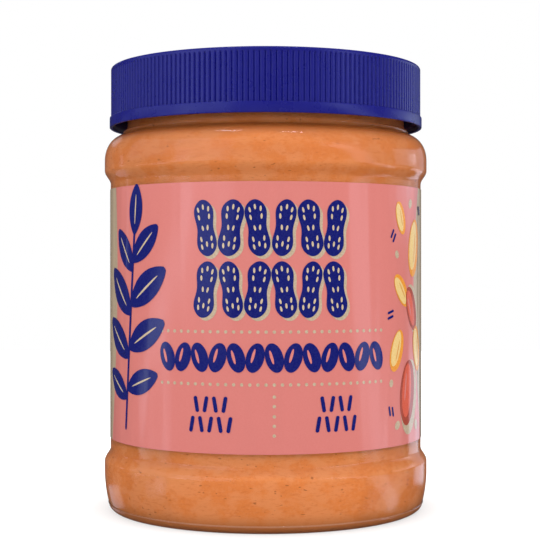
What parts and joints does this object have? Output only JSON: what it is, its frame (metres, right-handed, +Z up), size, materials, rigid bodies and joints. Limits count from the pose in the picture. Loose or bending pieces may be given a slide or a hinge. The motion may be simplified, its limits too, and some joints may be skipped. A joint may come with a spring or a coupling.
{
  "type": "peanut butter jar",
  "caption": "Round clear plastic jar full of peanut butter, with a wrap-round label on its recessed panel and a ribbed navy screw cap.",
  "frame": {"origin": "middle of the foot, on the surface that the jar stands on", "axes": "+Z up along the jar's axis, and the middle of the label's front faces -Y"},
  "size_m": [0.075, 0.075, 0.1018],
  "materials": {
    "clear_plastic": "clear, glossy",
    "peanut_butter": "smooth spread with fine dark flecks",
    "label_film": "satin printed film",
    "navy_plastic": "satin moulded"
  },
  "bodies": {
    "root": {"jar": "clear_plastic", "peanut_butter": "peanut_butter", "label": "label_film", "cap": "navy_plastic"}
  },
  "joints": []
}
